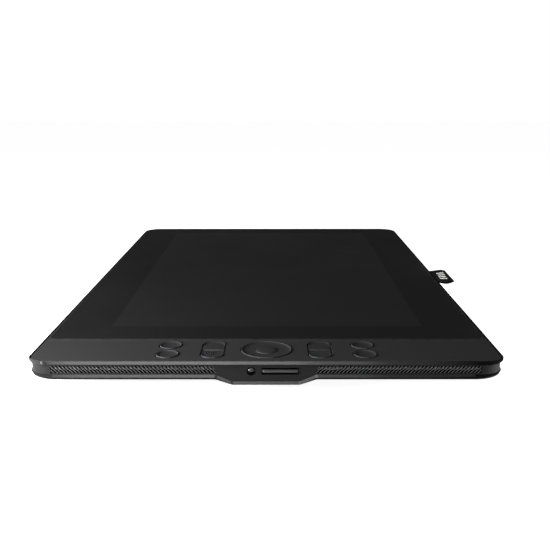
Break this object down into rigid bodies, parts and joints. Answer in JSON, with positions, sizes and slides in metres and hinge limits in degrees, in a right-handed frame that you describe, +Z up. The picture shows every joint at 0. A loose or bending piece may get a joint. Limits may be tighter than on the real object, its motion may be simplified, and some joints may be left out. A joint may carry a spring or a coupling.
{
  "type": "pen display tablet",
  "caption": "Flat dark drawing tablet with a glass screen, a strip of keys and a touch ring along one short edge, vents and side buttons below it and a fabric tag on one long side.",
  "frame": {"origin": "on the desk under the middle of the body, at the underside of the middle foot", "axes": "+X to the right when the key edge is towards the user, +Y from the key edge to the far edge, +Z up out of the screen"},
  "size_m": [0.2778, 0.418, 0.019],
  "materials": {
    "frame_paint": "fine matte",
    "cover_glass": "etched, dark behind",
    "gasket_foam": "matte",
    "clear_bond": "clear",
    "panel_film": "smooth",
    "circuit_board": "solder mask",
    "chassis_metal": "cast",
    "band_plastic": "fine matte",
    "lip_paint": "satin",
    "cover_plastic": "fine texture",
    "vent_plastic": "satin",
    "key_plastic": "satin",
    "mat_rubber": "matte",
    "button_plastic": "satin",
    "switch_plastic": "matte",
    "light_pipe": "clear",
    "chip_plastic": "matte",
    "copper": "plain copper",
    "fin_metal": "plain",
    "fan_plastic": "matte",
    "battery_wrap": "film",
    "ribbon_film": "film",
    "socket_steel": "plain",
    "foot_rubber": "matte",
    "screw_steel": "dark zinc",
    "tag_cloth": "woven ribbon",
    "anchor_plastic": "matte"
  },
  "bodies": {
    "housing": {"top_bezel": "frame_paint", "cover_glass": "cover_glass", "glass_gasket": "gasket_foam", "optical_bond": "clear_bond", "display_panel": "panel_film", "pen_board": "circuit_board", "chassis": "chassis_metal", "side_band": "band_plastic", "lower_frame": "lip_paint", "bottom_cover": "cover_plastic", "vent_left": "vent_plastic", "vent_right": "vent_plastic", "touch_ring": "key_plastic", "ring_sensor": "circuit_board", "key_mat": "mat_rubber", "key_board": "circuit_board", "side_switches": "switch_plastic", "switch_board": "circuit_board", "status_light": "light_pipe", "main_board": "circuit_board", "processor": "chip_plastic", "heat_plate": "copper", "heat_pipe": "copper", "fins_left": "fin_metal", "fins_right": "fin_metal", "fan_case_left": "fan_plastic", "fan_case_right": "fan_plastic", "battery": "battery_wrap", "panel_ribbon": "ribbon_film", "key_ribbon": "ribbon_film", "socket_ribbon": "ribbon_film", "usb_socket_left": "socket_steel", "usb_socket_right": "socket_steel", "socket_board": "circuit_board", "feet": "foot_rubber", "cover_screws": "screw_steel", "chassis_screws": "screw_steel", "board_screws": "screw_steel", "fabric_tag": "tag_cloth", "tag_anchor": "anchor_plastic"},
    "key_round_left_far_cap": {"key_round_left_far": "key_plastic"},
    "key_round_left_near_cap": {"key_round_left_near": "key_plastic"},
    "key_round_right_far_cap": {"key_round_right_far": "key_plastic"},
    "key_round_right_near_cap": {"key_round_right_near": "key_plastic"},
    "key_split_left_far_cap": {"key_split_left_far": "key_plastic"},
    "key_split_left_near_cap": {"key_split_left_near": "key_plastic"},
    "key_split_right_far_cap": {"key_split_right_far": "key_plastic"},
    "key_split_right_near_cap": {"key_split_right_near": "key_plastic"},
    "centre_button_cap": {"centre_button": "key_plastic"},
    "power_cap": {"power_button": "button_plastic"},
    "volume_bar": {"volume_rocker": "button_plastic"},
    "rotor_left": {"fan_rotor_left": "fan_plastic"},
    "rotor_right": {"fan_rotor_right": "fan_plastic"}
  },
  "joints": [
    {"name": "key_round_left_far_press", "type": "slide", "parent": "housing", "child": "key_round_left_far_cap", "axis": [0, 0, -1], "range_m": [0, 0.0006], "stiffness_N_per_m": 800},
    {"name": "key_round_left_near_press", "type": "slide", "parent": "housing", "child": "key_round_left_near_cap", "axis": [0, 0, -1], "range_m": [0, 0.0006], "stiffness_N_per_m": 800},
    {"name": "key_round_right_far_press", "type": "slide", "parent": "housing", "child": "key_round_right_far_cap", "axis": [0, 0, -1], "range_m": [0, 0.0006], "stiffness_N_per_m": 800},
    {"name": "key_round_right_near_press", "type": "slide", "parent": "housing", "child": "key_round_right_near_cap", "axis": [0, 0, -1], "range_m": [0, 0.0006], "stiffness_N_per_m": 800},
    {"name": "key_split_left_far_press", "type": "slide", "parent": "housing", "child": "key_split_left_far_cap", "axis": [0, 0, -1], "range_m": [0, 0.0006], "stiffness_N_per_m": 800},
    {"name": "key_split_left_near_press", "type": "slide", "parent": "housing", "child": "key_split_left_near_cap", "axis": [0, 0, -1], "range_m": [0, 0.0006], "stiffness_N_per_m": 800},
    {"name": "key_split_right_far_press", "type": "slide", "parent": "housing", "child": "key_split_right_far_cap", "axis": [0, 0, -1], "range_m": [0, 0.0006], "stiffness_N_per_m": 800},
    {"name": "key_split_right_near_press", "type": "slide", "parent": "housing", "child": "key_split_right_near_cap", "axis": [0, 0, -1], "range_m": [0, 0.0006], "stiffness_N_per_m": 800},
    {"name": "centre_button_press", "type": "slide", "parent": "housing", "child": "centre_button_cap", "axis": [0, 0, -1], "range_m": [0, 0.0006], "stiffness_N_per_m": 800},
    {"name": "power_press", "type": "slide", "parent": "housing", "child": "power_cap", "axis": [0, 1, 0], "range_m": [0, 0.0005], "stiffness_N_per_m": 800},
    {"name": "volume_tilt", "type": "hinge", "parent": "housing", "child": "volume_bar", "pos_m": [0.00765, -0.2043, 0.01275], "axis": [0, 0, 1], "range_deg": [-2.5, 2.5], "stiffness_Nm_per_rad": 0.16},
    {"name": "fan_spin_left", "type": "hinge", "parent": "housing", "child": "rotor_left", "pos_m": [-0.062, -0.116, 0.006], "axis": [0, 0, 1], "continuous": true},
    {"name": "fan_spin_right", "type": "hinge", "parent": "housing", "child": "rotor_right", "pos_m": [0.062, -0.116, 0.006], "axis": [0, 0, 1], "continuous": true}
  ]
}
